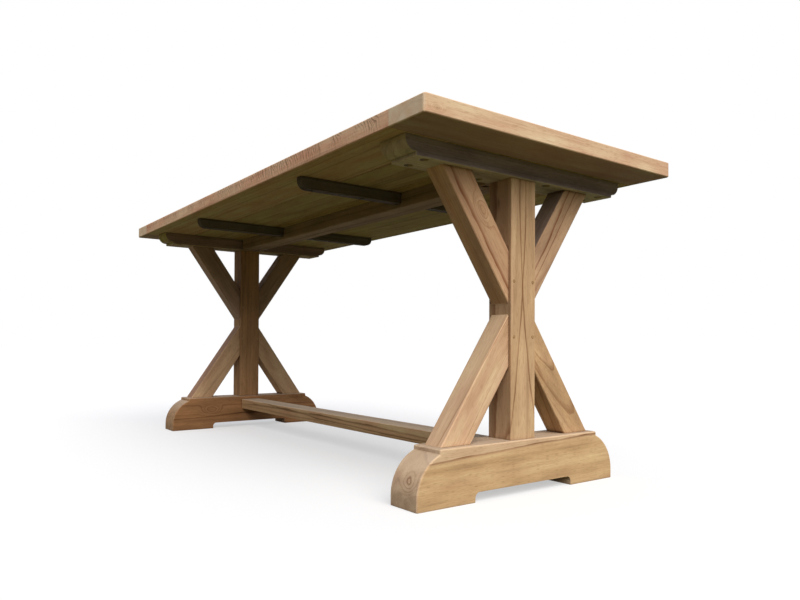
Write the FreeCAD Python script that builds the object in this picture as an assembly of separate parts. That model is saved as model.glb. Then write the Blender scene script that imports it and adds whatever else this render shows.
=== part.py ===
"""Sawbuck dining table: a planked top with breadboard ends on two X-braced trestles.

Each trestle is a shaped foot, a post, four diagonal braces that form an X with the post, and a bearer under
the top. A centre beam and two battens stiffen the top, and a low stretcher ties the feet together.

Millimetres. X runs along the table, Y across it and Z up. The origin is on the floor, under the middle of
the top. The near end is at +X, and the left side is at -Y.
"""
import FreeCAD
import Part
import math
import os

# Overall size
table_length = 1800.0
table_width = 770.0
table_height = 780.0

# Top: boards along the table, tongued into a breadboard across each end
top_thickness = 36.0
board_count = 5
breadboard_width = 110.0
tongue_thickness = 12.0
side_tongue_length = 8.0
end_tongue_length = 20.0
end_tongue_setback = 30.0
top_corner_radius = 7.0
top_arris = 2.0
seam_bevel = 1.0

# Flat stock of the bearers and the centre beam
rail_thickness = 40.0
rail_arris = 1.5

# Trestles, each square to the table
trestle_inset = 158.0

# Foot, with ends rounded from the floor up to a raised flat, and a relief that leaves two pads on the floor
foot_length = 620.0
foot_width = 90.0
foot_height = 120.0
foot_end_run = 60.0
foot_end_rise = 22.0
foot_step = 10.0
foot_arris = 2.5
pad_length = 157.0
relief_height = 21.0
relief_cove_radius = 12.0

# Bearer, a thinner foot's outline upside down
bearer_inset = 44.0
bearer_width = 85.0
bearer_end_run = 28.0
bearer_end_rise = 7.0
bearer_step = 8.0

# Post
post_thickness = 72.0
post_width = 78.0
post_arris = 2.0
post_tenon_thickness = 30.0
post_tenon_width = 52.0
post_head_tenon_length = 24.0
post_foot_tenon_length = 45.0

# Braces, eight alike: each rises from the foot, or falls from the bearer, to the side of the post
brace_thickness = 55.0
brace_width = 68.0
brace_reach = 234.0
brace_gap = 24.0
brace_arris = 2.0
brace_tenon_thickness = 18.0
brace_tenon_shoulder = 10.0
brace_side_tenon_length = 26.0
brace_end_tenon_length = 22.0

# Pegs through the post that lock the brace tenons
peg_diameter = 8.0
peg_side_distance = 9.0
peg_level = 62.0
peg_proud = 0.8

# Centre beam, stub-tenoned into the bearers and lapped over the battens
beam_width = 74.0
beam_tenon_length = 22.0
beam_tenon_thickness = 14.0
beam_tenon_width = 55.0

# Battens across the underside of the top
batten_offset = 350.0
batten_inset = 44.0
batten_thickness = 26.0
batten_height = 30.0
batten_end_radius = 22.0

# Stretcher, stub-tenoned into the inner faces of the feet
stretcher_height = 71.0
stretcher_width = 74.0
stretcher_thickness = 37.0
stretcher_tenon_length = 26.0
stretcher_tenon_thickness = 18.0
stretcher_tenon_width = 60.0

# Screws that hold the top, sunk in counterbores from below
screw_shank_diameter = 5.0
screw_head_diameter = 11.0
screw_head_height = 3.0
screw_tip_length = 5.0
screw_length = 50.0
screw_grip = 23.0
rail_counterbore_diameter = 20.0
batten_counterbore_diameter = 14.0
bearer_screw_spacing = 52.0
bearer_screw_end_distance = 61.0
bearer_screw_post_distance = 45.0
beam_screw_spacing = 44.0
beam_screw_end_distance = 20.0

# Fits and cuts
tenon_clearance = 0.2
screw_clearance = 0.25
peg_clearance = 0.1
cut_overrun = 5.0
same_direction_share = 0.999

# Sides of the pegs, the screws and their holes, few enough to keep so many of them light
round_sides = 14

# Places worked out from the sizes above
underside = table_height - top_thickness
rail_bottom = underside - rail_thickness
trestle_x = table_length / 2 - trestle_inset
breadboard_x = table_length / 2 - breadboard_width
bearer_length = table_width - bearer_inset * 2
batten_length = table_width - batten_inset * 2
board_width = table_width / board_count
middle_height = (rail_bottom + foot_height) / 2
brace_run = brace_reach - post_width / 2
brace_rise = (rail_bottom - foot_height - brace_gap) / 2
brace_slope = brace_rise / brace_run
brace_cut_height = brace_width * math.hypot(1, brace_slope)
brace_cut_run = brace_cut_height / brace_slope

origin = FreeCAD.Vector(0, 0, 0)
x_axis = FreeCAD.Vector(1, 0, 0)
y_axis = FreeCAD.Vector(0, 1, 0)
z_axis = FreeCAD.Vector(0, 0, 1)


def around(middle, size):
    """Limits of a size centred on a place."""
    return (middle - size / 2, middle + size / 2)


def block(x_limits, y_limits, z_limits):
    """Box between three pairs of limits."""
    low, high = zip(x_limits, y_limits, z_limits)
    sizes = [top - bottom for bottom, top in zip(low, high)]
    return Part.makeBox(*sizes, FreeCAD.Vector(*low))


def mortise(x_limits, y_limits, z_limits):
    """Room for a tenon between the given limits, with clearance on every side."""
    pairs = (x_limits, y_limits, z_limits)
    return block(*[(low - tenon_clearance, high + tenon_clearance) for low, high in pairs])


def slab(outline, x_middle, thickness):
    """Straight-sided outline in Y and Z, thickened along X."""
    points = [FreeCAD.Vector(x_middle - thickness / 2, *point) for point in outline]
    return Part.Face(Part.makePolygon(points + points[:1])).extrude(x_axis * thickness)


def edges_along(shape, direction):
    """Straight edges of a shape that run along a direction."""
    unit = FreeCAD.Vector(direction).normalize()
    straight = [edge for edge in shape.Edges if isinstance(edge.Curve, Part.Line)]
    return [edge for edge in straight if abs(edge.Curve.Direction.dot(unit)) > same_direction_share]


def edges_across(shape, direction):
    """Edges of a shape, straight or round, that lie square to an axis."""
    return [edge for edge in shape.Edges if abs(edge.tangentAt(edge.FirstParameter).dot(direction))
            < 1 - same_direction_share]


def mirrored(shape, normal):
    """Shape turned over to the other side of the plane through the origin."""
    return shape.mirror(origin, normal)


def fused(first, others):
    """One solid of a shape and others that touch it, with faces in one plane joined."""
    return first.multiFuse(others).removeSplitter()


def ring(diameter, centre, direction):
    """Ring of straight sides about a direction."""
    turn = FreeCAD.Rotation(z_axis, direction)
    angles = [(index + 0.5) * math.tau / round_sides for index in range(round_sides)]
    rim = [FreeCAD.Vector(math.cos(angle), math.sin(angle), 0) * (diameter / 2) for angle in angles]
    return Part.makePolygon([centre + turn.multVec(point) for point in rim + rim[:1]])


def round_bar(diameter, base, length, direction):
    """Turned piece, or the drill for a hole, from the middle of its base along a direction."""
    return Part.Face(ring(diameter, base, direction)).extrude(direction * length)


def stepped_bar(length, width, height, end_run, end_rise, step, arris):
    """Bar along Y on the plane z = 0, with ends that rise, then round over to a flat raised by a step."""
    half = length / 2
    half_flat = half - end_run
    shoulder = height - step
    round_height = shoulder - end_rise
    radius = (end_run ** 2 + round_height ** 2) / (end_run * 2)
    half_turn = math.atan2(round_height, radius - end_run) / 2
    bulge_y = half - radius + radius * math.cos(half_turn)
    bulge_z = end_rise + radius * math.sin(half_turn)
    end_points = [(half, 0), (half, end_rise), (bulge_y, bulge_z), (half_flat, shoulder)]
    right = [FreeCAD.Vector(-width / 2, y, z) for y, z in end_points]
    left = [FreeCAD.Vector(-width / 2, -y, z) for y, z in end_points]
    round_ends = [Part.Arc(*right[1:]), Part.Arc(*left[1:])]
    flat_sides = [Part.LineSegment(start, end) for start, end in (right[:2], left[:2])]
    flat_sides += [Part.LineSegment(left[index], right[index]) for index in (0, -1)]
    sides = [side.toShape() for side in round_ends + flat_sides]
    body = Part.Face(Part.Wire(Part.__sortEdges__(sides))).extrude(x_axis * width)
    face_edges = [edge for edge in edges_across(body, x_axis) if edge.BoundBox.ZMax > arris]
    body = body.makeChamfer(arris, face_edges)
    flat = block(around(0, width), (-half_flat, half_flat), (shoulder - arris, height))
    flat_edges = [edge for edge in flat.Edges if edge.BoundBox.ZMax > shoulder]
    return fused(body, [flat.makeChamfer(arris, flat_edges)])


def brace_side_tenon():
    """Limits of the tenon of the upper right brace in the side of the post."""
    outer = middle_height + brace_gap / 2
    inner = outer + brace_cut_height
    y_limits = (post_width / 2 - brace_side_tenon_length, post_width / 2)
    z_limits = (outer + brace_tenon_shoulder, inner - brace_side_tenon_length * brace_slope)
    return (around(trestle_x, brace_tenon_thickness), y_limits, z_limits)


def brace_end_tenon():
    """Limits of the tenon of the upper right brace in the bearer."""
    inner = brace_reach - brace_cut_run + brace_end_tenon_length / brace_slope
    y_limits = (inner, brace_reach - brace_tenon_shoulder)
    z_limits = (rail_bottom, rail_bottom + brace_end_tenon_length)
    return (around(trestle_x, brace_tenon_thickness), y_limits, z_limits)


def post_head_tenon():
    """Limits of the post's tenon in the bearer."""
    z_limits = (rail_bottom, rail_bottom + post_head_tenon_length)
    return (around(trestle_x, post_tenon_thickness), around(0, post_tenon_width), z_limits)


def post_foot_tenon():
    """Limits of the post's tenon in the foot."""
    z_limits = (foot_height - post_foot_tenon_length, foot_height)
    return (around(trestle_x, post_tenon_thickness), around(0, post_tenon_width), z_limits)


def beam_tenon():
    """Limits of the centre beam's tenon in the near bearer."""
    inner_face = trestle_x - bearer_width / 2
    z_limits = around(underside - rail_thickness / 2, beam_tenon_thickness)
    return ((inner_face, inner_face + beam_tenon_length), around(0, beam_tenon_width), z_limits)


def stretcher_tenon():
    """Limits of the stretcher's tenon in the near foot."""
    inner_face = trestle_x - foot_width / 2
    z_limits = around(stretcher_height + stretcher_thickness / 2, stretcher_tenon_thickness)
    return ((inner_face, inner_face + stretcher_tenon_length), around(0, stretcher_tenon_width), z_limits)


def turned_over(shape):
    """Shape turned over about the level half way up the trestle."""
    return shape.mirror(z_axis * middle_height, z_axis)


def both_sides(shape):
    """Shape and its mirror image on the other side of the table's centre line."""
    return [shape, mirrored(shape, y_axis)]


def peg_places():
    """Middle points of the pegs of the near trestle."""
    y = post_width / 2 - peg_side_distance
    levels = (middle_height - peg_level, middle_height + peg_level)
    return [FreeCAD.Vector(trestle_x, side, level) for side in (-y, y) for level in levels]


def peg_holes():
    """Holes of the pegs, right through the near post and the brace tenons in it."""
    length = post_thickness + cut_overrun * 2
    diameter = peg_diameter + peg_clearance * 2
    return [round_bar(diameter, place - x_axis * (length / 2), length, x_axis) for place in peg_places()]


def post_pegs():
    """Pegs of the near trestle, with eased ends that stand a little proud of the post."""
    length = post_thickness + peg_proud * 2
    pegs = []
    for place in peg_places():
        peg = round_bar(peg_diameter, place - x_axis * (length / 2), length, x_axis)
        pegs.append(peg.makeChamfer(peg_proud, edges_across(peg, x_axis)))
    return Part.makeCompound(pegs)


def foot():
    """Near foot, with its relief, and with mortises for the post, two braces and the stretcher."""
    bar = stepped_bar(foot_length, foot_width, foot_height, foot_end_run, foot_end_rise, foot_step,
                      foot_arris)
    relief = block(around(0, foot_width + cut_overrun * 2), around(0, foot_length - pad_length * 2),
                   (-cut_overrun, relief_height))
    coves = [edge for edge in edges_along(relief, x_axis) if edge.CenterOfMass.z > 0]
    bar = bar.cut(relief.makeFillet(relief_cove_radius, coves))
    bar.translate(x_axis * trestle_x)
    brace_mortises = both_sides(turned_over(mortise(*brace_end_tenon())))
    return bar.cut([mortise(*post_foot_tenon()), mortise(*stretcher_tenon())] + brace_mortises)


def post():
    """Near post, tenoned at both ends, with mortises for four braces and holes for their pegs."""
    shaft = block(around(trestle_x, post_thickness), around(0, post_width), (foot_height, rail_bottom))
    shaft = shaft.makeChamfer(post_arris, edges_along(shaft, z_axis))
    shaft = fused(shaft, [block(*post_head_tenon()), block(*post_foot_tenon())])
    upper_mortises = both_sides(mortise(*brace_side_tenon()))
    lower_mortises = [turned_over(shape) for shape in upper_mortises]
    return shaft.cut(upper_mortises + lower_mortises + peg_holes())


def brace():
    """Upper right brace of the near trestle, cut to the post and the bearer and tenoned into both."""
    half_post = post_width / 2
    outer = middle_height + brace_gap / 2
    outline = [(half_post, outer), (brace_reach, rail_bottom), (brace_reach - brace_cut_run, rail_bottom),
               (half_post, outer + brace_cut_height)]
    bar = slab(outline, trestle_x, brace_thickness)
    bar = bar.makeChamfer(brace_arris, edges_along(bar, FreeCAD.Vector(0, brace_run, brace_rise)))
    bar = fused(bar, [block(*brace_side_tenon()), block(*brace_end_tenon())])
    return bar.cut(peg_holes())


def braces():
    """The four braces of the near trestle, by name."""
    upper = dict(zip(("right", "left"), both_sides(brace())))
    named = {}
    for side, shape in upper.items():
        named["upper_" + side] = shape
        named["lower_" + side] = turned_over(shape)
    return named


def screw(place):
    """Screw that points up into the top, with its head seated screw_grip below the underside."""
    seat = FreeCAD.Vector(*place, underside - screw_grip)
    shank_length = screw_length - screw_tip_length
    head = round_bar(screw_head_diameter, seat - z_axis * screw_head_height, screw_head_height, z_axis)
    shank = round_bar(screw_shank_diameter, seat, shank_length, z_axis)
    tip_ring = ring(screw_shank_diameter, seat + z_axis * shank_length, z_axis)
    tip = Part.makeLoft([tip_ring, Part.Vertex(seat + z_axis * screw_length)], True, True)
    return fused(head, [shank, tip])


def screw_hole(place, counterbore_diameter):
    """Hole of a screw from below: a counterbore up to the head's seat, and the shank's hole above it."""
    bottom = FreeCAD.Vector(*place, rail_bottom - cut_overrun)
    seat_height = underside - screw_grip - bottom.z
    counterbore = round_bar(counterbore_diameter, bottom, seat_height, z_axis)
    shank_diameter = screw_shank_diameter + screw_clearance * 2
    shank_hole = round_bar(shank_diameter, bottom, seat_height + screw_length + screw_clearance, z_axis)
    return counterbore.fuse(shank_hole)


def bearer_screw_places():
    """Screws of the near bearer: a pair near each end, and one on either side of the post, staggered."""
    inner, outer = around(trestle_x, bearer_screw_spacing)
    end_row = bearer_length / 2 - bearer_screw_end_distance
    post_row = post_width / 2 + bearer_screw_post_distance
    end_pairs = [(x, y) for x in (inner, outer) for y in (-end_row, end_row)]
    return end_pairs + [(inner, -post_row), (outer, post_row)]


def beam_screw_places():
    """Screws of the centre beam: a pair at each end."""
    row = trestle_x - bearer_width / 2 - beam_screw_end_distance
    return [(x, y) for x in (-row, row) for y in around(0, beam_screw_spacing)]


def batten_screw_places():
    """Screws of the near batten: one in the middle of each board that lies clear of the beam."""
    middles = [(index + 0.5) * board_width - table_width / 2 for index in range(board_count)]
    clear = (beam_width + batten_counterbore_diameter) / 2
    return [(batten_offset, y) for y in middles if abs(y) > clear]


def screws(places):
    """Group of screws at the given places."""
    return Part.makeCompound([screw(place) for place in places])


def screw_holes(places, counterbore_diameter):
    """Holes of a group of screws."""
    return [screw_hole(place, counterbore_diameter) for place in places]


def bearer():
    """Near bearer, with mortises for the post, two braces and the beam, and with counterbored holes."""
    bar = stepped_bar(bearer_length, bearer_width, rail_thickness, bearer_end_run, bearer_end_rise,
                      bearer_step, rail_arris)
    bar = mirrored(bar, z_axis)
    bar.translate(FreeCAD.Vector(trestle_x, 0, underside))
    mortises = [mortise(*post_head_tenon()), mortise(*beam_tenon())]
    mortises += both_sides(mortise(*brace_end_tenon()))
    return bar.cut(mortises + screw_holes(bearer_screw_places(), rail_counterbore_diameter))


def lap_height():
    """Level at which the beam and the battens pass each other, half way up the battens."""
    return underside - batten_height / 2


def centre_beam():
    """Beam between the bearers, with stub tenons, and notched from above for the battens."""
    half_length = trestle_x - bearer_width / 2
    bar = block((-half_length, half_length), around(0, beam_width), (rail_bottom, underside))
    lower_edges = [edge for edge in edges_along(bar, x_axis) if edge.CenterOfMass.z < lap_height()]
    bar = bar.makeChamfer(rail_arris, lower_edges)
    tenon = block(*beam_tenon())
    bar = fused(bar, [tenon, mirrored(tenon, x_axis)])
    notch = block(around(batten_offset, batten_thickness + tenon_clearance * 2),
                  around(0, beam_width + cut_overrun * 2), (lap_height(), underside + cut_overrun))
    holes = screw_holes(beam_screw_places(), rail_counterbore_diameter)
    return bar.cut([notch, mirrored(notch, x_axis)] + holes)


def batten():
    """Near batten, with rounded lower corners, notched from below to straddle the beam."""
    bottom = underside - batten_height
    bar = block(around(batten_offset, batten_thickness), around(0, batten_length), (bottom, underside))
    end_edges = [edge for edge in edges_along(bar, x_axis) if edge.CenterOfMass.z < lap_height()]
    bar = bar.makeFillet(batten_end_radius, end_edges)
    face_edges = [edge for edge in edges_across(bar, x_axis) if edge.BoundBox.ZMin < lap_height()]
    bar = bar.makeChamfer(rail_arris, face_edges)
    notch = block(around(batten_offset, batten_thickness + cut_overrun * 2),
                  around(0, beam_width + tenon_clearance * 2), (bottom - cut_overrun, lap_height()))
    return bar.cut([notch] + screw_holes(batten_screw_places(), batten_counterbore_diameter))


def stretcher():
    """Low rail between the feet, with stub tenons."""
    half_length = trestle_x - foot_width / 2
    z_limits = (stretcher_height, stretcher_height + stretcher_thickness)
    bar = block((-half_length, half_length), around(0, stretcher_width), z_limits)
    bar = bar.makeChamfer(rail_arris, edges_along(bar, x_axis))
    tenon = block(*stretcher_tenon())
    return fused(bar, [tenon, mirrored(tenon, x_axis)])


def tongue_levels():
    """Limits in height of the tongues in the middle of the top's thickness."""
    return around(underside + top_thickness / 2, tongue_thickness)


def on_long_side(edge):
    """Whether an edge lies on one of the top's long sides."""
    return abs(edge.CenterOfMass.y) > table_width / 2 - seam_bevel


def top_board(index, holes):
    """Board of the top, counted from the left, tongued at its right edge and both ends."""
    left = index * board_width - table_width / 2
    right = left + board_width
    is_first = index == 0
    is_last = index == board_count - 1
    bar = block((-breadboard_x, breadboard_x), (left, right), (underside, table_height))
    seams = [edge for edge in edges_along(bar, x_axis) if not on_long_side(edge)]
    bar = bar.makeChamfer(seam_bevel, seams)
    rims = [edge for edge in edges_along(bar, x_axis) if on_long_side(edge)]
    if rims:
        bar = bar.makeChamfer(top_arris, rims)
    end_left = left + (end_tongue_setback if is_first else 0)
    end_right = right - (end_tongue_setback if is_last else 0)
    end_x = (breadboard_x, breadboard_x + end_tongue_length)
    end_tongue = block(end_x, (end_left, end_right), tongue_levels())
    tongues = [end_tongue, mirrored(end_tongue, x_axis)]
    if not is_last:
        side_y = (right, right + side_tongue_length)
        tongues.append(block((-breadboard_x, breadboard_x), side_y, tongue_levels()))
    if not is_first:
        groove_x = (-breadboard_x - cut_overrun, breadboard_x + cut_overrun)
        bar = bar.cut(mortise(groove_x, (left, left + side_tongue_length), tongue_levels()))
    return fused(bar, tongues).cut(holes)


def breadboard():
    """Near breadboard end, with a stopped groove for the boards' tongues."""
    half_width = table_width / 2
    bar = block((breadboard_x, table_length / 2), (-half_width, half_width), (underside, table_height))
    corners = [edge for edge in edges_along(bar, z_axis) if edge.CenterOfMass.x > breadboard_x]
    bar = bar.makeFillet(top_corner_radius, corners)
    rims = [edge for edge in edges_across(bar, z_axis) if edge.CenterOfMass.x > breadboard_x + seam_bevel]
    bar = bar.makeChamfer(top_arris, rims)
    seams = [edge for edge in edges_along(bar, y_axis) if edge.CenterOfMass.x < breadboard_x + seam_bevel]
    bar = bar.makeChamfer(seam_bevel, seams)
    groove_y = half_width - end_tongue_setback
    groove_x = (breadboard_x, breadboard_x + end_tongue_length)
    return bar.cut(mortise(groove_x, (-groove_y, groove_y), tongue_levels()))


def both_ends(name, shape):
    """A piece of the near end and its mirror image at the far end, by name."""
    return {name + "_near": shape, name + "_far": mirrored(shape, x_axis)}


def table():
    """All pieces of the table, by name."""
    rail_holes = screw_holes(bearer_screw_places(), rail_counterbore_diameter)
    batten_holes = screw_holes(batten_screw_places(), batten_counterbore_diameter)
    near_holes = rail_holes + batten_holes
    holes = near_holes + [mirrored(hole, x_axis) for hole in near_holes]
    holes = Part.makeCompound(holes + screw_holes(beam_screw_places(), rail_counterbore_diameter))
    pieces = {}
    for index in range(board_count):
        pieces["top_board_" + str(index + 1)] = top_board(index, holes)
    pieces.update(both_ends("breadboard", breadboard()))
    pieces.update(both_ends("bearer", bearer()))
    pieces.update(both_ends("bearer_screws", screws(bearer_screw_places())))
    pieces["centre_beam"] = centre_beam()
    pieces["beam_screws"] = screws(beam_screw_places())
    pieces.update(both_ends("batten", batten()))
    pieces.update(both_ends("batten_screws", screws(batten_screw_places())))
    pieces.update(both_ends("post", post()))
    pieces.update(both_ends("post_pegs", post_pegs()))
    for name, shape in braces().items():
        pieces.update(both_ends("brace_" + name, shape))
    pieces.update(both_ends("foot", foot()))
    pieces["stretcher"] = stretcher()
    return pieces


os.makedirs("parts", exist_ok=True)
for name, shape in table().items():
    shape.exportStep("parts/" + name + ".step")
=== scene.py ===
import bmesh
import bpy
import math
from mathutils import Matrix, Vector


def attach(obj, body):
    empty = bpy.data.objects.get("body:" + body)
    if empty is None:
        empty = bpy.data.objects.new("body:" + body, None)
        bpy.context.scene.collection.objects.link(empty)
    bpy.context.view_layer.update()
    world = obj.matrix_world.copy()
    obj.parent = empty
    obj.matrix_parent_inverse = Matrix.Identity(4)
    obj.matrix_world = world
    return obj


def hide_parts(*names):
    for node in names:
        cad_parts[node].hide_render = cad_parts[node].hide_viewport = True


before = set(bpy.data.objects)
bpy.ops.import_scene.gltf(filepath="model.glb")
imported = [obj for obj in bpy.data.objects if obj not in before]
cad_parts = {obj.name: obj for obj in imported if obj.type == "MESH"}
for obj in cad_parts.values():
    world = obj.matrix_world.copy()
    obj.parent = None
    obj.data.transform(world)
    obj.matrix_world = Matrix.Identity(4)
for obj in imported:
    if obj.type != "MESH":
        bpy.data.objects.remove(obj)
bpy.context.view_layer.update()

# Feet: two thick sleds that carry the posts, with rounded ends, a raised flat on top and two pads below.
# Each is sawn from one balk of reclaimed teak, sanded by hand, and left bare. The heart of the tree runs
# through the near foot, so its end shows whole rings and its front long golden bands under one dark vein.
trestles = {"near": 0.742, "far": -0.742}
foot_half_width = 0.045
foot_arris = 0.0011
near_foot_tones = ("#C9A980", "#7E4E2C", "#C9AC90")
# The far foot's tones are darker than the near one's partly as painted shade.
far_foot_shaded_tones = ("#9D724D", "#57361E", "#A98868")
near_foot_front = trestles["near"] + foot_half_width
far_foot_front = trestles["far"] + foot_half_width
near_foot_heart = ((0.755, -0.305, 0.053), (0, 1, 0), 0.013, 0)
near_foot_vein = ((near_foot_front, -0.281, 0.093), (0.35, -0.062, 1), 0.006, 0.036, 0.6)
far_foot_knots = [((far_foot_front, -0.159, 0.071), (1, 0, 0), 0.010, 0),
                  ((far_foot_front, 0.210, 0.110), (1, 0, 0), 0.007, 0.8)]
far_foot_vein = ((far_foot_front, -0.25, 0.046), (0.1, -0.04, 1), 0.007, 0, 0)


def linear(colour):
    """Linear colour of an sRGB hex value."""
    shares = [int(colour[start:start + 2], 16) / 255 for start in (1, 3, 5)]
    return [share / 12.92 if share <= 0.04045 else ((share + 0.055) / 1.055) ** 2.4 for share in shares] + [1]


def add_node(tree, kind, settings, inputs):
    """Node of a tree, with its settings, and with each input given a value or another node's output."""
    node = tree.nodes.new(kind)
    for name, value in settings.items():
        setattr(node, name, value)
    for name, value in inputs.items():
        if isinstance(value, bpy.types.NodeSocket):
            tree.links.new(value, node.inputs[name])
        else:
            node.inputs[name].default_value = value
    return node


def knot_distance(tree, spot, cloud, along_grain, centre, axis, size):
    """Distance from a knot's axis, halved along the grain to draw the knot out, and ragged as the wood is."""
    away = add_node(tree, "ShaderNodeVectorMath", {"operation": "SUBTRACT"},
                    {0: spot.outputs["Object"], 1: centre})
    run = add_node(tree, "ShaderNodeVectorMath", {"operation": "DOT_PRODUCT"},
                   {0: away.outputs[0], 1: along_grain})
    half_run = add_node(tree, "ShaderNodeVectorMath", {"operation": "SCALE"},
                        {0: along_grain * 0.5, "Scale": run.outputs["Value"]})
    short = add_node(tree, "ShaderNodeVectorMath", {"operation": "SUBTRACT"},
                     {0: away.outputs[0], 1: half_run.outputs[0]})
    aside = add_node(tree, "ShaderNodeVectorMath", {"operation": "CROSS_PRODUCT"},
                     {0: short.outputs[0], 1: axis})
    even = add_node(tree, "ShaderNodeVectorMath", {"operation": "LENGTH"}, {0: aside.outputs[0]})
    ragged = add_node(tree, "ShaderNodeMath", {"operation": "MULTIPLY_ADD"},
                      {0: cloud.outputs["Fac"], 1: size, 2: even.outputs["Value"]})
    return ragged.outputs[0]


def vein_height(tree, spot, cloud, along_grain, point, normal, width, bow):
    """Height above a vein, which is a wavy sheet through the wood that bows along the grain."""
    away = add_node(tree, "ShaderNodeVectorMath", {"operation": "SUBTRACT"},
                    {0: spot.outputs["Object"], 1: point})
    level = add_node(tree, "ShaderNodeVectorMath", {"operation": "DOT_PRODUCT"},
                     {0: away.outputs[0], 1: normal})
    along = add_node(tree, "ShaderNodeVectorMath", {"operation": "DOT_PRODUCT"},
                     {0: away.outputs[0], 1: along_grain})
    square = add_node(tree, "ShaderNodeMath", {"operation": "POWER"}, {0: along.outputs["Value"], 1: 2})
    bowed = add_node(tree, "ShaderNodeMath", {"operation": "MULTIPLY_ADD"},
                     {0: square.outputs[0], 1: bow, 2: level.outputs["Value"]})
    wave = add_node(tree, "ShaderNodeMapRange", {},
                    {"Value": cloud.outputs["Fac"], "To Min": -width, "To Max": width})
    wavy = add_node(tree, "ShaderNodeMath", {"operation": "ADD"}, {0: bowed.outputs[0], 1: wave.outputs[0]})
    return wavy.outputs[0]


def worn(tree, colour, pale, painted_corner_shade):
    """Colour of wood whose arrises are rubbed pale, and whose corners and joints are darkened by painted
    shade.
    """
    rubbed_width = 0.003
    corner_shade_reach = 0.008
    rounded = add_node(tree, "ShaderNodeBevel", {"samples": 4}, {"Radius": rubbed_width})
    surface = add_node(tree, "ShaderNodeNewGeometry", {}, {})
    likeness = add_node(tree, "ShaderNodeVectorMath", {"operation": "DOT_PRODUCT"},
                        {0: rounded.outputs[0], 1: surface.outputs["Normal"]})
    rubbed = add_node(tree, "ShaderNodeMapRange", {},
                      {"Value": likeness.outputs["Value"], "From Min": 0.995, "From Max": 0.85,
                       "To Min": 0, "To Max": 0.7})
    colour = add_node(tree, "ShaderNodeMix", {"data_type": "RGBA"},
                      {0: rubbed.outputs[0], 6: colour.outputs[2], 7: pale})
    # Painted shade: wood with other faces close by darkens towards a dark vein tone
    openness = add_node(tree, "ShaderNodeAmbientOcclusion", {"samples": 4}, {"Distance": corner_shade_reach})
    closed = add_node(tree, "ShaderNodeMapRange", {},
                      {"Value": openness.outputs["AO"], "From Min": 0.8, "From Max": 0.45,
                       "To Min": 0, "To Max": 0.6})
    return add_node(tree, "ShaderNodeMix", {"data_type": "RGBA"},
                    {0: closed.outputs[0], 6: colour.outputs[2], 7: painted_corner_shade})


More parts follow.
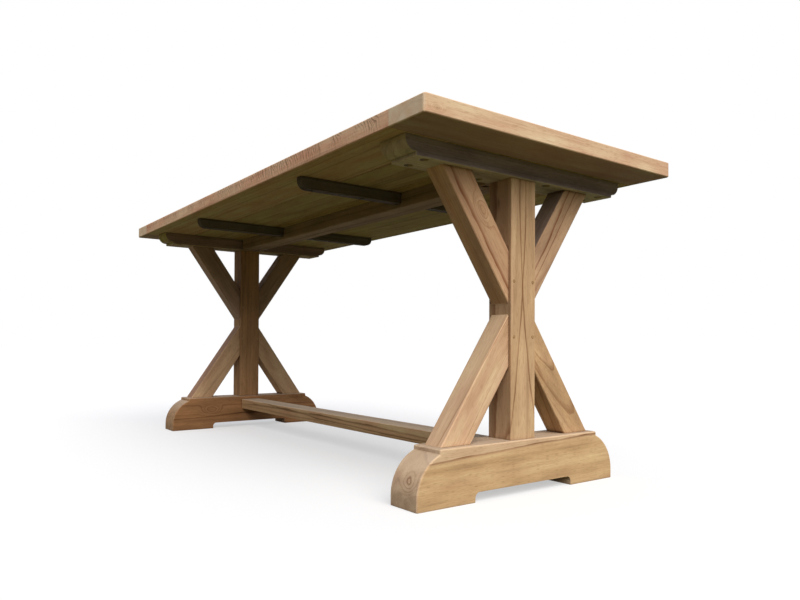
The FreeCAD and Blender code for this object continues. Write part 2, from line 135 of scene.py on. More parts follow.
def teak(piece, grain, pith, tones, ring=0.014, wander=0.016, bold=1, knots=(), veins=(), painted_shade=None,
         sheen=0.15):
    """Bare sanded teak, cut from a log whose heart runs through pith along grain.

    The growth rings are solid, so a face along the log shows bands and arches and its end shows arcs.
    Silky fibres, fine pores, bleached upper faces and pale rubbed arrises give the eye the dry, worn look of
    aged wood, and painted shade darkens its corners and joints. The tones are the wood's mean colour, its
    dark veins and its end grain.
    Ring is the width of a growth ring, wander is how far the log bends, and bold is how much the rings show.
    A knot has a centre, an axis, a size and a darkness. A vein has a point, a normal, a width, a bow and the
    paleness of the wood beyond it. Painted shade has the way that its faces look and the tone that darkens
    them.
    """
    wood, vein, end = [linear(tone) for tone in tones]
    pale = [share * factor for share, factor in zip(wood, (1.20, 1.22, 1.26, 1))]
    brown = [share * factor for share, factor in zip(wood, (0.93, 0.89, 0.83, 1))]
    # Half the vein tone is the painted shade in corners and joints
    painted_corner_shade = [share * factor for share, factor in zip(vein, (0.5, 0.5, 0.5, 1))]
    along_grain = Vector(grain).normalized()
    material = bpy.data.materials.new("bare_sanded_teak_" + piece)
    material.use_nodes = True
    tree = material.node_tree
    tree.nodes.clear()
    spot = add_node(tree, "ShaderNodeTexCoord", {}, {})
    turn = along_grain.to_track_quat("X", "Z").to_euler()
    log = add_node(tree, "ShaderNodeMapping", {"vector_type": "TEXTURE"},
                   {"Vector": spot.outputs["Object"], "Location": pith, "Rotation": turn}).outputs[0]

    # Length and width of each pattern in metres, and its detail. The pores are drawn three times too wide.
    patterns = {"wander": (0.55, 0.09, 3), "cloud": (0.16, 0.032, 3), "streak": (0.8, 0.022, 2),
                "fibre": (0.08, 0.0018, 2), "pore": (0.016, 0.0012, 0)}
    noise = {}
    for pattern, (length, width, detail) in patterns.items():
        drawn = add_node(tree, "ShaderNodeVectorMath", {"operation": "DIVIDE"},
                         {0: log, 1: (length, width, width)})
        noise[pattern] = add_node(tree, "ShaderNodeTexNoise", {},
                                  {"Vector": drawn.outputs[0], "Scale": 1, "Detail": detail})
    cloud = noise["cloud"]
    fibre = noise["fibre"]

    # Distance from the heart, with the log's bends. The rings swell round a knot, and show more there.
    knot_reach = 4
    knot_rings = 4
    bent = add_node(tree, "ShaderNodeVectorMath", {"operation": "MULTIPLY_ADD"},
                    {0: noise["wander"].outputs["Color"], 1: (0, wander, wander), 2: log})
    section = add_node(tree, "ShaderNodeVectorMath", {"operation": "MULTIPLY"},
                       {0: bent.outputs[0], 1: (0, 1, 1)})
    radius = add_node(tree, "ShaderNodeVectorMath", {"operation": "LENGTH"},
                      {0: section.outputs[0]}).outputs["Value"]
    stains = []
    nearness = []
    for centre, axis, size, darkness in knots:
        distance = knot_distance(tree, spot, cloud, along_grain, centre, axis, size)
        near = add_node(tree, "ShaderNodeMapRange", {"interpolation_type": "SMOOTHERSTEP"},
                        {"Value": distance, "From Min": size * knot_reach, "From Max": 0})
        nearness.append(near)
        radius = add_node(tree, "ShaderNodeMath", {"operation": "MULTIPLY_ADD"},
                          {0: near.outputs[0], 1: ring * knot_rings, 2: radius}).outputs[0]
        stains.append(add_node(tree, "ShaderNodeMapRange", {"interpolation_type": "SMOOTHSTEP"},
                               {"Value": distance, "From Min": size, "From Max": size * 0.4,
                                "To Min": 0, "To Max": darkness}))

    # Broad bands, and within them rings that darken slowly outwards and then stop, a few of them strongly
    bands_per_ring = 0.5
    years_per_ring = 0.83
    bands = add_node(tree, "ShaderNodeTexNoise", {"noise_dimensions": "1D"},
                     {"W": radius, "Scale": bands_per_ring / ring, "Detail": 3})
    phase = add_node(tree, "ShaderNodeMath", {"operation": "MULTIPLY_ADD"},
                     {0: radius, 1: 1 / ring, 2: bands.outputs["Fac"]})
    share = add_node(tree, "ShaderNodeMath", {"operation": "FRACT"}, {0: phase.outputs[0]})
    late = add_node(tree, "ShaderNodeMapRange", {"interpolation_type": "SMOOTHSTEP"},
                    {"Value": share.outputs[0], "From Min": 0.5, "From Max": 1})
    years = add_node(tree, "ShaderNodeTexNoise", {"noise_dimensions": "1D"},
                     {"W": radius, "Scale": years_per_ring / ring, "Detail": 0})
    strength = add_node(tree, "ShaderNodeMapRange", {},
                        {"Value": years.outputs["Fac"], "From Min": 0.45, "From Max": 0.7,
                         "To Min": 0.06 * bold, "To Max": 0.5 * bold}).outputs[0]
    for near in nearness:
        strength = add_node(tree, "ShaderNodeMath", {"operation": "MULTIPLY_ADD"},
                            {0: near.outputs[0], 1: 0.5, 2: strength}).outputs[0]
    line = add_node(tree, "ShaderNodeMath", {"operation": "MULTIPLY"}, {0: late.outputs[0], 1: strength})
    band = add_node(tree, "ShaderNodeMapRange", {},
                    {"Value": bands.outputs["Fac"], "From Min": 0.3, "From Max": 0.7})
    colour = add_node(tree, "ShaderNodeMix", {"data_type": "RGBA"}, {0: band.outputs[0], 6: pale, 7: brown})
    colour = add_node(tree, "ShaderNodeMix", {"data_type": "RGBA"},
                      {0: line.outputs[0], 6: colour.outputs[2], 7: vein})

    # Mineral streaks, and bowed veins that are sharp on one side and fade on the other
    sharpness = 4
    stains.append(add_node(tree, "ShaderNodeMapRange", {"interpolation_type": "SMOOTHSTEP"},
                           {"Value": noise["streak"].outputs["Fac"], "From Min": 0.6, "From Max": 0.78,
                            "To Min": 0, "To Max": 0.5 * bold}))
    for point, normal, width, bow, pale_beyond in veins:
        height = vein_height(tree, spot, cloud, along_grain, point, normal, width, bow)
        sharp = add_node(tree, "ShaderNodeMath", {"operation": "MULTIPLY"}, {0: height, 1: sharpness})
        soft = add_node(tree, "ShaderNodeMath", {"operation": "MULTIPLY"}, {0: height, 1: -1})
        depth = add_node(tree, "ShaderNodeMath", {"operation": "MAXIMUM"},
                         {0: sharp.outputs[0], 1: soft.outputs[0]})
        core = add_node(tree, "ShaderNodeMapRange", {"interpolation_type": "SMOOTHSTEP"},
                        {"Value": depth.outputs[0], "From Min": width, "From Max": 0})
        broken = add_node(tree, "ShaderNodeMapRange", {},
                          {"Value": cloud.outputs["Fac"], "From Min": 0.35, "From Max": 0.6,
                           "To Min": 0.95, "To Max": 0.55})
        stains.append(add_node(tree, "ShaderNodeMath", {"operation": "MULTIPLY"},
                               {0: core.outputs[0], 1: broken.outputs[0]}))
        beyond = add_node(tree, "ShaderNodeMapRange", {},
                          {"Value": height, "From Min": -width, "From Max": width / sharpness,
                           "To Min": 0, "To Max": pale_beyond})
        colour = add_node(tree, "ShaderNodeMix", {"data_type": "RGBA"},
                          {0: beyond.outputs[0], 6: colour.outputs[2], 7: end})
    for stain in stains:
        colour = add_node(tree, "ShaderNodeMix", {"data_type": "RGBA"},
                          {0: stain.outputs[0], 6: colour.outputs[2], 7: vein})

    # End grain in its own tone, with the rings as arcs
    facing = add_node(tree, "ShaderNodeVectorMath", {"operation": "DOT_PRODUCT"},
                      {0: spot.outputs["Normal"], 1: along_grain})
    squarely = add_node(tree, "ShaderNodeMath", {"operation": "ABSOLUTE"}, {0: facing.outputs["Value"]})
    cut = add_node(tree, "ShaderNodeMapRange", {"interpolation_type": "SMOOTHSTEP"},
                   {"Value": squarely.outputs[0], "From Min": 0.25, "From Max": 0.9,
                    "To Min": 0, "To Max": 0.9})
    arcs = add_node(tree, "ShaderNodeMix", {"data_type": "RGBA"}, {0: line.outputs[0], 6: end, 7: vein})
    colour = add_node(tree, "ShaderNodeMix", {"data_type": "RGBA"},
                      {0: cut.outputs[0], 6: colour.outputs[2], 7: arcs.outputs[2]})

    # Fibres, soft clouds and pores over all of it
    for pattern, amount in ((fibre, 0.22), (cloud, 0.5)):
        colour = add_node(tree, "ShaderNodeMix", {"data_type": "RGBA", "blend_type": "OVERLAY"},
                          {0: amount, 6: colour.outputs[2], 7: pattern.outputs["Fac"]})
    pores = add_node(tree, "ShaderNodeMapRange", {},
                     {"Value": noise["pore"].outputs["Fac"], "From Min": 0.60, "From Max": 0.72,
                      "To Min": 0, "To Max": 0.28})
    colour = add_node(tree, "ShaderNodeMix", {"data_type": "RGBA"},
                      {0: pores.outputs[0], 6: colour.outputs[2], 7: vein})

    # Faces that look up are bleached, and those that look one way may be darkened by painted shade
    axes = add_node(tree, "ShaderNodeSeparateXYZ", {}, {0: spot.outputs["Normal"]})
    bleach = add_node(tree, "ShaderNodeMapRange", {},
                      {"Value": axes.outputs["Z"], "From Min": 0.5, "From Max": 0.95,
                       "To Min": 0, "To Max": 0.6})
    colour = add_node(tree, "ShaderNodeMix", {"data_type": "RGBA"},
                      {0: bleach.outputs[0], 6: colour.outputs[2], 7: linear("#D0C0AA")})
    if painted_shade:
        aspect, tone = painted_shade
        looking = add_node(tree, "ShaderNodeVectorMath", {"operation": "DOT_PRODUCT"},
                           {0: spot.outputs["Normal"], 1: Vector(aspect).normalized()})
        shade_share = add_node(tree, "ShaderNodeMapRange", {},
                       {"Value": looking.outputs["Value"], "From Min": 0.7, "From Max": 0.95})
        colour = add_node(tree, "ShaderNodeMix", {"data_type": "RGBA", "blend_type": "MULTIPLY"},
                          {0: shade_share.outputs[0], 6: colour.outputs[2], 7: linear(tone)})
    colour = worn(tree, colour, pale, painted_corner_shade)

    # Fibres stand up a little, pores are sunk, and the sanded surface is dry
    relief_depth = 0.0005
    roughness = add_node(tree, "ShaderNodeMapRange", {},
                         {"Value": fibre.outputs["Fac"], "From Min": 0.3, "From Max": 0.7,
                          "To Min": 0.65, "To Max": 0.85})
    relief = add_node(tree, "ShaderNodeMath", {"operation": "SUBTRACT"},
                      {0: fibre.outputs["Fac"], 1: pores.outputs[0]})
    bump = add_node(tree, "ShaderNodeBump", {},
                    {"Height": relief.outputs[0], "Strength": 0.4, "Distance": relief_depth})
    shader = add_node(tree, "ShaderNodeBsdfPrincipled", {},
                      {"Base Color": colour.outputs[2], "Roughness": roughness.outputs[0],
                       "Normal": bump.outputs[0], "IOR": 1.5, "Specular IOR Level": sheen})
    add_node(tree, "ShaderNodeOutputMaterial", {}, {"Surface": shader.outputs[0]})
    return material


shading = bpy.data.node_groups.new("shade_soft_corners", "GeometryNodeTree")
for direction in ("INPUT", "OUTPUT"):
    shading.interface.new_socket("Geometry", in_out=direction, socket_type="NodeSocketGeometry")
given = add_node(shading, "NodeGroupInput", {}, {})
angle = add_node(shading, "GeometryNodeInputMeshEdgeAngle", {}, {})
hard = add_node(shading, "FunctionNodeCompare", {"operation": "GREATER_THAN"},
                {0: angle.outputs[0], 1: math.radians(35)})
shaded = add_node(shading, "GeometryNodeSetMeshNormal", {},
                  {"Mesh": given.outputs[0], "Remove Custom": True, "Edge Sharpness": hard.outputs[0],
                   "Face Sharpness": False})
add_node(shading, "NodeGroupOutput", {}, {0: shaded.outputs[0]})


def dress(piece, material, arris):
    """Gives a solid its wood, and rounds its arrises as sandpaper does."""
    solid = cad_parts[piece]
    solid.material_slots[0].material = material
    joined = solid.modifiers.new("join_faces", "WELD")
    joined.merge_threshold = 0.00001
    flat = solid.modifiers.new("clear_flats", "DECIMATE")
    flat.decimate_type = "DISSOLVE"
    flat.angle_limit = math.radians(0.5)
    eased = solid.modifiers.new("ease_arrises", "BEVEL")
    eased.width = arris
    eased.segments = 2
    eased.limit_method = "ANGLE"
    eased.angle_limit = math.radians(30)
    solid.modifiers.new("shade_corners", "NODES").node_group = shading
    even = solid.modifiers.new("even_shading", "WEIGHTED_NORMAL")
    even.keep_sharp = True


# The near foot's upper faces are darkened a little by painted shade from the post and braces over them.
wood = teak("foot_near", grain=(0, 1, 0.03), pith=(0.757, 0, 0.040), tones=near_foot_tones, ring=0.018,
            bold=0.5, knots=[near_foot_heart], veins=[near_foot_vein], painted_shade=((0, 0, 1), "#E4DEDB"))
dress("foot_near", wood, foot_arris)
wood = teak("foot_far", grain=(0, 1, -0.02), pith=(-0.735, 0, 0.020), tones=far_foot_shaded_tones, ring=0.015,
            knots=far_foot_knots, veins=[far_foot_vein])
dress("foot_far", wood, foot_arris)

# Stretcher: a flat rail that ties the feet together, a little above the floor.
# It is one plank of teak, browner than the feet, with a stub tenon in the inner side of each foot.
stretcher_half_width = 0.037
slim_arris = 0.0009
stretcher_tones = ("#D6B087", "#8A6844", "#A98B6C")
stretcher_veins = [((0.05, -stretcher_half_width, 0.098), (0.008, 0.5, 1), 0.008, 0.02, 0),
                   ((0.30, -stretcher_half_width, 0.080), (-0.01, 0.5, -1), 0.006, 0.03, 0)]
# The side that faces -y is darkened by painted shade.
wood = teak("stretcher", grain=(1, 0.01, 0), pith=(0, 0.05, 0.02), tones=stretcher_tones, ring=0.011,
            bold=1.2, veins=stretcher_veins, painted_shade=((0, -1, 0), "#E1DFDA"))
dress("stretcher", wood, slim_arris)

# Posts: square teak posts, one to a trestle, tenoned into the foot below and the bearer above.
# On the near post's front two dark veins run close together above its middle, and part below it.
post_half_depth = 0.036
post_half_width = 0.039
near_post_tones = ("#C8A884", "#7E5230", "#B39679")
# The far post's tones are darker than the near post's partly as painted shade.
far_post_shaded_tones = ("#A67F5A", "#5E4028", "#9A7C60")
parting = (trestles["near"] + post_half_depth, -0.003, 0.45)
post_veins = [((0.730, -post_half_width, 0.30), (1, 0.3, 0.01), 0.030, 0, 0),
              (parting, (0.25, 1, -0.077), 0.005, 0.125, 0),
              (parting, (0.25, -1, -0.084), 0.005, 0.176, 0)]
# The near post's side that faces -y is darkened a little by painted shade.
wood = teak("post_near", grain=(-0.02, 0.004, 1), pith=(0.725, -0.004, 0.42), tones=near_post_tones,
            ring=0.020, wander=0.012, bold=0.6, veins=post_veins, painted_shade=((0, -1, 0), "#EAE6E8"))
dress("post_near", wood, slim_arris)
wood = teak("post_far", grain=(0.03, 0, 1), pith=(-0.70, 0.04, 0.4), tones=far_post_shaded_tones, ring=0.014)
dress("post_far", wood, slim_arris)

# Braces: eight short teak bars that make an X with each post, cut at an angle to the post and the rails.
# Each has a tenon at either end, and each is from another plank, so that no two have the same figure.
brace_rise = 0.280
brace_run = 0.195
brace_middle_y = 0.116
brace_middle_z = {"upper": 0.594, "lower": 0.230}
brace_half_depth = 0.0275
brace_front = trestles["near"] + brace_half_depth
# The far braces' tones are darker partly as painted shade, most of all the upper ones.
brace_tones = {"upper_left_near": ("#BC9776", "#86502F"), "lower_left_near": ("#CEAE8C", "#A06A48"),
               "upper_right_near": ("#B89778", "#804A2E"), "lower_right_near": ("#BB9973", "#7C4E2C"),
               "upper_left_far": ("#A88A76", "#5E3C28"), "lower_left_far": ("#C09E7C", "#70492C"),
               "upper_right_far": ("#A88A70", "#5E3C28"), "lower_right_far": ("#C6A480", "#744C2E")}
brace_end_tone = "#B0906F"
brace_knots = {"upper_left_near": [((brace_front, -0.119, 0.624), (1, 0, 0), 0.009, 0)]}
brace_veins = {"upper_left_near": [((brace_front, -0.129, 0.585), (-0.3, -0.820, -0.571), 0.010, 0, 0)],
               "lower_left_near": [((brace_front, -0.1445, 0.252), (0.5, 0.803, -0.596), 0.0018, 0, 0),
                                   ((brace_front, -0.0895, 0.244), (-0.3, 0.830, -0.558), 0.0015, 0, 0)],
               "upper_right_near": [((brace_front, 0.084, 0.563), (0.4, 0.857, -0.515), 0.007, 0, 0),
                                    ((brace_front, 0.096, 0.554), (0.3, 0.840, -0.540), 0.004, 0, 0)]}
brace_figure = {"lower_right_near": (0.007, 1.3)}
# Two braces have the side that faces up towards the post darkened by painted shade.
brace_painted_shades = {"upper_right_near": ((0, -0.820, 0.571), "#B8C0D4"),
               "lower_left_far": ((0, -0.820, 0.571), "#D8CCD0")}
for place, (name, tones) in enumerate(brace_tones.items()):
    level, side, end = name.split("_")
    half = 1 if side == "right" else -1
    outward = half if level == "upper" else -half
    middle = Vector((trestles[end], half * brace_middle_y, brace_middle_z[level]))

    # Each brace's log leans and lies another way
    lean = 0.012 * (place % 4)
    pith = middle + Vector((-0.02 - 0.009 * (place % 3), 0.012 * (place % 5 - 2), 0.03))
    ring, bold = brace_figure.get(name, (0.012 + 0.001 * (place % 4), 0.7))
    wood = teak("brace_" + name, grain=(lean, outward * brace_run, brace_rise), pith=pith,
                tones=tones + (brace_end_tone,), ring=ring, bold=bold, knots=brace_knots.get(name, ()),
                veins=brace_veins.get(name, ()), painted_shade=brace_painted_shades.get(name))
    dress("brace_" + name, wood, slim_arris)

# Bearers: flat rails on the trestles that carry the top, with the feet's outline upside down.
# They are teak of a duller brown, mortised for the post, braces and beam, and screwed to the top from below.
# Their fronts are darkened and blued by painted shade and a painted sky reflection under the top's overhang.
# Here under the top the wood was never rubbed, so it has hardly any sheen.
rail_arris = 0.0008
unrubbed_sheen = 0.02
bearer_tones = {"near": ("#B6AB9A", "#5A4836", "#C4AE94"), "far": ("#AA957E", "#5A4432", "#B8AA70")}
for end, post_x in trestles.items():
    wood = teak("bearer_" + end, grain=(0, 1, 0.01), pith=(post_x + 0.03, 0, 0.67), tones=bearer_tones[end],
                ring=0.010, bold=0.5, painted_shade=((1, 0, 0), "#DCD6FF"), sheen=unrubbed_sheen)
    dress("bearer_" + end, wood, rail_arris)

# Centre beam: a flat rail along the middle of the underside, stub-tenoned into the bearers.
# It is the bearers' stock, notched over the battens and held to the top by two screws at each end.
beam_tones = ("#937C68", "#4C3826", "#84705A")
beam_knot = ((-0.05, 0.014, 0.704), (0, 0, 1), 0.004, 0.7)
wood = teak("centre_beam", grain=(1, 0, 0.005), pith=(0, 0.03, 0.66), tones=beam_tones, ring=0.010,
            knots=[beam_knot], sheen=unrubbed_sheen)
dress("centre_beam", wood, rail_arris)

# Battens: two thin strips on edge across the underside, which keep the boards flat.
# Their dark tone is partly heartwood and partly painted shade, and their lower faces are darkened further by
# painted shade. They are rounded at the lower corners, notched to straddle the beam and screwed up.
battens = {"near": 0.350, "far": -0.350}
batten_shaded_tones = ("#67605F", "#40342A", "#605448")
for end, batten_x in battens.items():
    wood = teak("batten_" + end, grain=(0, 1, 0), pith=(batten_x - 0.03, 0, 0.69), tones=batten_shaded_tones,
                ring=0.009, painted_shade=((0, 0, -1), "#A89C86"), sheen=unrubbed_sheen)
    dress("batten_" + end, wood, rail_arris)

# Top boards: five teak planks along the table, tongued edge to edge and into the breadboards.
# Each has its own figure and tone, and dark seams. Their undersides are darkened by painted shade, tinted a
# little green as painted bounce light. On the two long sides the arcs of a circular saw still show, worn away
# in places.
board_width = 0.154
board_tones = (("#E2B99A", "#84583C"), ("#C7A67F", "#6F4D30"), ("#C39E70", "#744E30"),
               ("#C4A47A", "#6A4A2C"), ("#C8A67E", "#6C4C30"))
board_end_tone = "#A98D6C"
# Painted shade on the boards' undersides, tinted a little green as painted bounce light
underside_painted_shade = "#CAD8C8"
board_count = len(board_tones)
heart_offsets = (0.03, -0.05, 0.02, 0.06, -0.02)
heart_levels = (0.70, 0.83, 0.69, 0.84, 0.71)
seam_offset = 0.0758
seam_level = 0.76
seam_width = 0.004
blade_radius = 0.15
blade_level = 0.70
blade_shake = 0.03
tooth_spacing = 0.009
worn_patch = 0.06
marks_worn_below = 0.748
marks_whole_above = 0.765


def saw_mark(material):
    """Adds the dark arcs that a circular saw left on a board's sides, which are worn away in places."""
    tree = material.node_tree
    shader = tree.nodes["Principled BSDF"]
    clean = shader.inputs["Base Color"].links[0].from_socket
    spot = add_node(tree, "ShaderNodeTexCoord", {}, {})
    place = add_node(tree, "ShaderNodeSeparateXYZ", {}, {0: spot.outputs["Object"]})
    rise = add_node(tree, "ShaderNodeMath", {"operation": "SUBTRACT"},
                    {0: place.outputs["Z"], 1: blade_level})
    square = add_node(tree, "ShaderNodeMath", {"operation": "POWER"}, {0: rise.outputs[0], 1: 2})
    arc = add_node(tree, "ShaderNodeMath", {"operation": "MULTIPLY_ADD"},
                   {0: square.outputs[0], 1: 0.5 / blade_radius, 2: place.outputs["X"]})

    # The blade shook and the feed was uneven, so the arcs waver and lie at uneven distances
    shake = add_node(tree, "ShaderNodeTexNoise", {},
                     {"Vector": spot.outputs["Object"], "Scale": 1 / blade_shake})
    shaken = add_node(tree, "ShaderNodeMath", {"operation": "MULTIPLY_ADD"},
                      {0: shake.outputs["Fac"], 1: blade_shake, 2: arc.outputs[0]})
    teeth = add_node(tree, "ShaderNodeMath", {"operation": "DIVIDE"},
                     {0: shaken.outputs[0], 1: tooth_spacing})
    jolt = add_node(tree, "ShaderNodeTexNoise", {"noise_dimensions": "1D"},
                    {"W": teeth.outputs[0], "Scale": 0.4})
    bite = add_node(tree, "ShaderNodeMath", {"operation": "MULTIPLY_ADD"},
                    {0: jolt.outputs["Fac"], 1: 1.5, 2: teeth.outputs[0]})
    share = add_node(tree, "ShaderNodeMath", {"operation": "FRACT"}, {0: bite.outputs[0]})
    tick = add_node(tree, "ShaderNodeMapRange", {"interpolation_type": "SMOOTHSTEP"},
                    {"Value": share.outputs[0], "From Min": 0.4, "From Max": 1})

    # They are worn away in patches and towards the bottom, and only the boards' sides have them
    wear = add_node(tree, "ShaderNodeTexNoise", {},
                    {"Vector": spot.outputs["Object"], "Scale": 1 / worn_patch, "Detail": 3})
    left = add_node(tree, "ShaderNodeMapRange", {},
                    {"Value": wear.outputs["Fac"], "From Min": 0.33, "From Max": 0.52,
                     "To Min": 0, "To Max": 0.72})
    upper = add_node(tree, "ShaderNodeMapRange", {},
                     {"Value": place.outputs["Z"], "From Min": marks_worn_below,
                      "From Max": marks_whole_above, "To Min": 0.3})
    left = add_node(tree, "ShaderNodeMath", {"operation": "MULTIPLY"},
                    {0: left.outputs[0], 1: upper.outputs[0]})
    marks = add_node(tree, "ShaderNodeMath", {"operation": "MULTIPLY"},
                     {0: tick.outputs[0], 1: left.outputs[0]})
    way = add_node(tree, "ShaderNodeSeparateXYZ", {}, {0: spot.outputs["Normal"]})
    side = add_node(tree, "ShaderNodeMath", {"operation": "ABSOLUTE"}, {0: way.outputs["Y"]})
    shown = add_node(tree, "ShaderNodeMath", {"operation": "MULTIPLY"},
                     {0: marks.outputs[0], 1: side.outputs[0]})
    colour = add_node(tree, "ShaderNodeMix", {"data_type": "RGBA"},
                      {0: shown.outputs[0], 6: clean, 7: linear("#6A4630")})
    tree.links.new(colour.outputs[2], shader.inputs["Base Color"])


for number, tones in enumerate(board_tones, 1):
    name = "top_board_" + str(number)
    middle = (number - (board_count + 1) / 2) * board_width
    heart = (0, middle + heart_offsets[number - 1], heart_levels[number - 1])
    seams = [((0, middle + side * seam_offset, seam_level), (0, side, 0), seam_width, 0, 0)
             for side in (-1, 1) if 1 <= number + side <= board_count]
    wood = teak(name, grain=(1, 0.008 * (number % 3 - 1), 0.004), pith=heart, tones=tones + (board_end_tone,),
                ring=0.012, bold=0.8, veins=seams, painted_shade=((0, 0, -1), underside_painted_shade), sheen=unrubbed_sheen)
    if number in (1, board_count):
        saw_mark(wood)
    dress(name, wood, rail_arris)

# Breadboards: planks across the two ends of the top, grooved for the boards' tongues.
# They keep the boards flat and hide their end grain. Their own end grain shows at the long sides.
table_end = 0.9
breadboard_half_width = 0.055
breadboard_arris = 0.0011
breadboard_tones = ("#D0B192", "#94623E", "#E6CEB2")
for end, side in (("near", 1), ("far", -1)):
    middle = side * (table_end - breadboard_half_width)
    knot = ((side * table_end, -0.356, 0.757), (1, 0, 0), 0.004, 0.5)
    # Their undersides are darkened and cooled by painted shade.
    wood = teak("breadboard_" + end, grain=(0.01, 1, 0), pith=(middle + 0.02, 0, 0.69),
                tones=breadboard_tones, ring=0.016, bold=0.25, knots=[knot], painted_shade=((0, 0, -1), "#C4C8D8"),
                sheen=unrubbed_sheen)
    dress("breadboard_" + end, wood, breadboard_arris)

# Pegs: round teak pins driven right through each post to lock the tenons of its braces.
# They are split from straight stock and left a little proud, so their dark end grain shows on the post.
peg_radius = 0.004
peg_length = 0.0736
peg_ease = 0.0007
peg_rise = 0.062
peg_side = 0.030
peg_middle = 0.412
peg_tones = ("#A8865E", "#6A4A2C", "#A08058")


def finished(name, shape, material):
    """Object that holds a finished shape and its material."""
    mesh = bpy.data.meshes.new(name)
    shape.to_mesh(mesh)
    shape.free()
    mesh.materials.append(material)
    piece = bpy.data.objects.new(name, mesh)
    bpy.context.collection.objects.link(piece)
    return piece


for end, post_x in trestles.items():
    pins = bmesh.new()
    for side in (-peg_side, peg_side):
        for height in (peg_middle - peg_rise, peg_middle + peg_rise):
            place = Matrix.Translation((post_x, side, height)) @ Matrix.Rotation(math.radians(90), 4, "Y")
            pin = bmesh.ops.create_cone(pins, cap_ends=True, segments=32, radius1=peg_radius,
                                        radius2=peg_radius, depth=peg_length, matrix=place)
            rims = {edge for vert in pin["verts"] for edge in vert.link_edges
                    if abs(edge.verts[0].co.x - edge.verts[1].co.x) < peg_radius}
            bmesh.ops.bevel(pins, geom=list(rims), offset=peg_ease, segments=3, profile=0.5,
                            affect="EDGES", material=-1)
    wood = teak("pegs_" + end, grain=(1, 0, 0), pith=(post_x, 0.01, 0.40), tones=peg_tones, ring=0.004)
    pegs = finished("pegs_" + end, pins, wood)
    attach(pegs, "root")
    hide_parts("post_pegs_" + end)

# Screws: pan-headed steel screws that hold the top, sunk in counterbores from below.
# Each head has a cross recess. The zinc plating is dull, with a faint bluish bloom.
screw_seat = 0.721
head_radius = 0.0055
head_height = 0.003
shank_radius = 0.0025
shank_length = 0.045
tip_length = 0.005
face_radius = 0.0036
face_bevel = 0.0006
recess_half_width = 0.0007
recess_reach = 0.0027
recess_depth = 0.0019
recess_taper = 0.7
bloom_size = 0.002
bearer_screw_x = 0.026
bearer_screw_end_y = 0.280
bearer_screw_post_y = 0.084
beam_screw_x = 0.6795
beam_screw_y = 0.022


def zinc_plated_steel():
    """Dull zinc plating: grey metal, cloudy and a little rough, that catches only soft glints."""
    material = bpy.data.materials.new("zinc_plated_steel")
    material.use_nodes = True
    tree = material.node_tree
    tree.nodes.clear()
    spot = add_node(tree, "ShaderNodeTexCoord", {}, {})
    bloom = add_node(tree, "ShaderNodeTexNoise", {},
                     {"Vector": spot.outputs["Object"], "Scale": 1 / bloom_size, "Detail": 3})
    colour = add_node(tree, "ShaderNodeMix", {"data_type": "RGBA"},
                      {0: bloom.outputs["Fac"], 6: linear("#8E9196"), 7: linear("#6C6A66")})
    roughness = add_node(tree, "ShaderNodeMapRange", {},
                         {"Value": bloom.outputs["Fac"], "To Min": 0.3, "To Max": 0.6})
    shader = add_node(tree, "ShaderNodeBsdfPrincipled", {},
                      {"Base Color": colour.outputs[2], "Roughness": roughness.outputs[0], "Metallic": 1})
    add_node(tree, "ShaderNodeOutputMaterial", {}, {"Surface": shader.outputs[0]})
    return material


def turned_screw():
    """Screw at the origin that points up, turned from its outline, with a cross sunk in its head."""
    steel = bmesh.new()
    outline = [(face_radius, -head_height), (head_radius - face_bevel, -head_height + face_bevel / 2),
               (head_radius, -head_height + face_bevel * 2), (head_radius, 0), (shank_radius, 0),
               (shank_radius, shank_length), (0, shank_length + tip_length)]
    points = [steel.verts.new((x, 0, z)) for x, z in outline]
    sides = [steel.edges.new(pair) for pair in zip(points, points[1:])]
    bmesh.ops.spin(steel, geom=points + sides, cent=(0, 0, 0), axis=(0, 0, 1), angle=math.tau, steps=28,
                   use_merge=True)
    bmesh.ops.remove_doubles(steel, verts=steel.verts, dist=0.00001)
    rim = [edge for edge in steel.edges if edge.is_boundary]
    corners = []
    for quarter in range(4):
        turn = Matrix.Rotation(quarter * math.pi / 2, 3, "Z")
        for x, y in ((recess_reach, -recess_half_width), (recess_reach, recess_half_width),
                     (recess_half_width, recess_half_width)):
            corners.append(steel.verts.new(turn @ Vector((x, y, -head_height))))
    cross = [steel.edges.new(pair) for pair in zip(corners, corners[1:] + corners[:1])]
    bmesh.ops.triangle_fill(steel, use_beauty=True, edges=rim + cross)
    walls = bmesh.ops.extrude_edge_only(steel, edges=cross)["geom"]
    floor = [item for item in walls if isinstance(item, bmesh.types.BMVert)]
    bmesh.ops.scale(steel, vec=(recess_taper, recess_taper, 1), verts=floor)
    bmesh.ops.translate(steel, vec=(0, 0, recess_depth), verts=floor)
    bmesh.ops.edgeloop_fill(steel, edges=[edge for edge in steel.edges if edge.is_boundary])
    bmesh.ops.recalc_face_normals(steel, faces=steel.faces)
    return steel


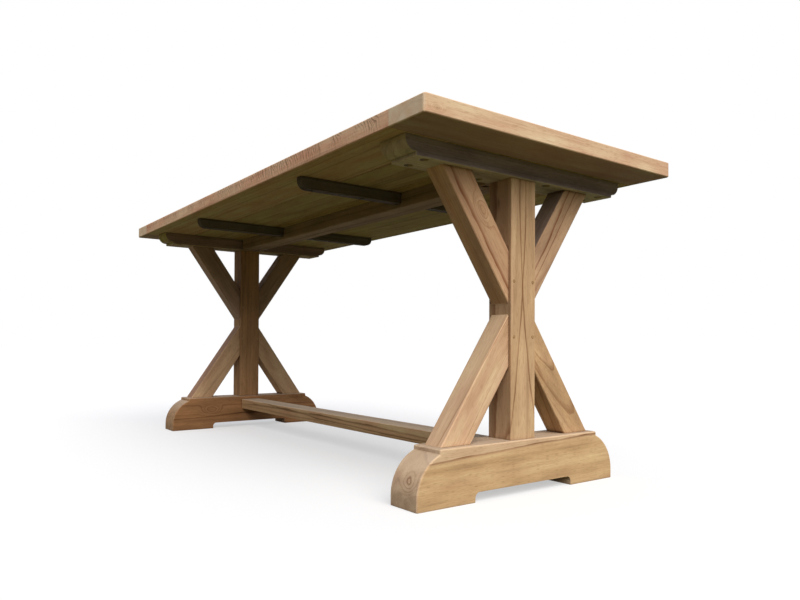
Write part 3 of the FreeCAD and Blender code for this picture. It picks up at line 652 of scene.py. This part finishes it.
zinc = zinc_plated_steel()
screw_places = {"beam_screws": [(x, y) for x in (-beam_screw_x, beam_screw_x)
                                for y in (-beam_screw_y, beam_screw_y)]}
for end, sign in (("near", 1), ("far", -1)):
    inner_x = trestles[end] - sign * bearer_screw_x
    outer_x = trestles[end] + sign * bearer_screw_x
    screw_places["bearer_screws_" + end] = [
        (inner_x, -bearer_screw_end_y), (inner_x, bearer_screw_end_y), (outer_x, -bearer_screw_end_y),
        (outer_x, bearer_screw_end_y), (inner_x, -bearer_screw_post_y), (outer_x, bearer_screw_post_y)]
    screw_places["batten_screws_" + end] = [(battens[end], board * board_width) for board in (-2, -1, 1, 2)]
for node, places in screw_places.items():
    steel = turned_screw()
    pattern = steel.verts[:] + steel.edges[:] + steel.faces[:]
    for x, y in places:
        copy = bmesh.ops.duplicate(steel, geom=pattern)["geom"]
        bmesh.ops.translate(steel, vec=(x, y, screw_seat),
                            verts=[item for item in copy if isinstance(item, bmesh.types.BMVert)])
    bmesh.ops.delete(steel, geom=pattern, context="FACES")
    screws = finished("steel_" + node, steel, zinc)
    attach(screws, "root")
    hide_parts(node)

# Stage: a plain pale floor under a soft sky that is brightest overhead, with a broad hazy sun before the
# table. The floor is white to the eye, but throws back only a little dull olive light, so that the underside
# stays in shade.
floor_half = 40
horizon_strength = 0.08
zenith_strength = 0.75
towards_sun = Vector((0.9, -0.24, 0.9))


def seen_rays(tree):
    """Share of the rays that show the stage to the eye, straight, off shiny metal or through glass."""
    path = add_node(tree, "ShaderNodeLightPath", {}, {})
    unbent = add_node(tree, "ShaderNodeMath", {"operation": "MAXIMUM"},
                      {0: path.outputs["Is Camera Ray"], 1: path.outputs["Is Glossy Ray"]})
    seen = add_node(tree, "ShaderNodeMath", {"operation": "MAXIMUM"},
                    {0: unbent.outputs[0], 1: path.outputs["Is Transmission Ray"]})
    return seen.outputs[0]


stage_scene = bpy.context.scene
stage_scene.view_settings.view_transform = "Standard"
paint = bpy.data.materials.new("matt_white_floor")
paint.use_nodes = True
tree = paint.node_tree
tree.nodes.clear()
lit = add_node(tree, "ShaderNodeBsdfDiffuse", {}, {"Color": linear("#F4F4F4")})
glow = add_node(tree, "ShaderNodeEmission", {}, {"Strength": 1})
pale = add_node(tree, "ShaderNodeMixShader", {}, {0: 0.5, 1: lit.outputs[0], 2: glow.outputs[0]})
dull = add_node(tree, "ShaderNodeBsdfDiffuse", {}, {"Color": linear("#5F5C35")})
shown = add_node(tree, "ShaderNodeMixShader", {},
                 {0: seen_rays(tree), 1: dull.outputs[0], 2: pale.outputs[0]})
add_node(tree, "ShaderNodeOutputMaterial", {}, {"Surface": shown.outputs[0]})
ground = bmesh.new()
bmesh.ops.create_grid(ground, x_segments=1, y_segments=1, size=floor_half)
floor = finished("floor", ground, paint)

sky = bpy.data.worlds.new("soft_sky")
stage_scene.world = sky
sky.use_nodes = True
tree = sky.node_tree
tree.nodes.clear()
white = add_node(tree, "ShaderNodeBackground", {}, {"Color": (1, 1, 1, 1), "Strength": 1})
way = add_node(tree, "ShaderNodeTexCoord", {}, {})
axes = add_node(tree, "ShaderNodeSeparateXYZ", {}, {0: way.outputs["Generated"]})
rise = add_node(tree, "ShaderNodeMapRange", {},
                {"Value": axes.outputs["Z"], "To Min": horizon_strength, "To Max": zenith_strength})
dome = add_node(tree, "ShaderNodeBackground", {},
                {"Color": linear("#E6EDFF"), "Strength": rise.outputs[0]})
mixed = add_node(tree, "ShaderNodeMixShader", {},
                 {0: seen_rays(tree), 1: dome.outputs[0], 2: white.outputs[0]})
add_node(tree, "ShaderNodeOutputWorld", {}, {"Surface": mixed.outputs[0]})

lamp = bpy.data.lights.new("broad_sun", "SUN")
lamp.energy = 3.5
lamp.angle = math.radians(60)
lamp.color = linear("#FFFAF2")[:3]
sun = bpy.data.objects.new("broad_sun", lamp)
stage_scene.collection.objects.link(sun)
sun.rotation_euler = towards_sun.to_track_quat("Z", "Y").to_euler()

# Camera: a third of a metre above the floor, beside the near corner, and level with the table's middle.
# The lens is wide, and shifted up a little, as in the photograph's framing.
image_width = 800
image_height = 600
focal_pixels = 665.96
centre_x = 400.80
centre_y = 336.85
sensor = 36
yaw = 0.93145
pitch = 0.00927
roll = 0.00462
lens = bpy.data.cameras.new("camera")
lens.sensor_width = sensor
lens.lens = focal_pixels * sensor / image_width
lens.shift_x = (image_width / 2 - centre_x) / image_width
lens.shift_y = (centre_y - image_height / 2) / image_width
camera = bpy.data.objects.new("camera", lens)
stage_scene.collection.objects.link(camera)
camera.location = (1.81607, -1.11592, 0.33461)
camera.rotation_euler = (Matrix.Rotation(yaw, 3, "Z") @ Matrix.Rotation(math.pi / 2 + pitch, 3, "X")
                         @ Matrix.Rotation(roll, 3, "Z")).to_euler()
stage_scene.camera = camera
